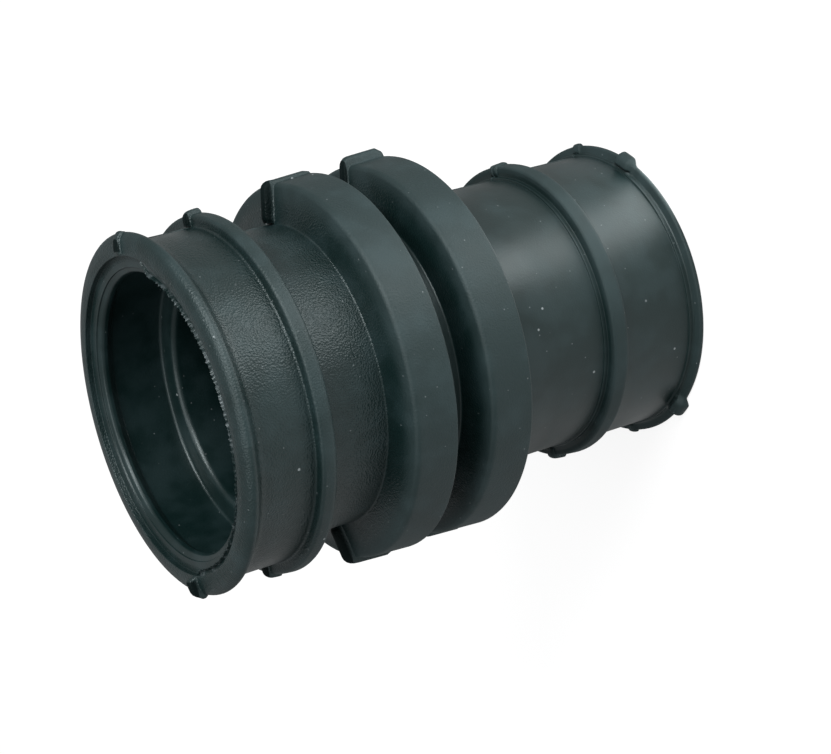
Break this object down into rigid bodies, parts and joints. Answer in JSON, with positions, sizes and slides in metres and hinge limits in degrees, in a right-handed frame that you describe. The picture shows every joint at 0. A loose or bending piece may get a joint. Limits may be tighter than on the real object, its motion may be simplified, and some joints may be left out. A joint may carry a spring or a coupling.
{
  "type": "rubber pump connector",
  "caption": "Moulded rubber sleeve that joins a dishwasher's sump to its wash pump, with end rings, clamp ribs, hollow flexing flanges and a stepped bore.",
  "frame": {"origin": "centre of the narrow end's face, on the sleeve's axis, which is the bottom centre of its box", "axes": "+Z along the sleeve's axis from the narrow end up to the wide mouth; the mould parts on the XZ plane, so its beads stand at +X and -X; the lugs of the narrow end's rim are on the -Y side"},
  "size_m": [0.0634, 0.0606, 0.0866],
  "materials": {
    "black_rubber": "satin, finely pebbled by the mould"
  },
  "bodies": {
    "root": {"connector_sleeve": "black_rubber"}
  },
  "joints": []
}
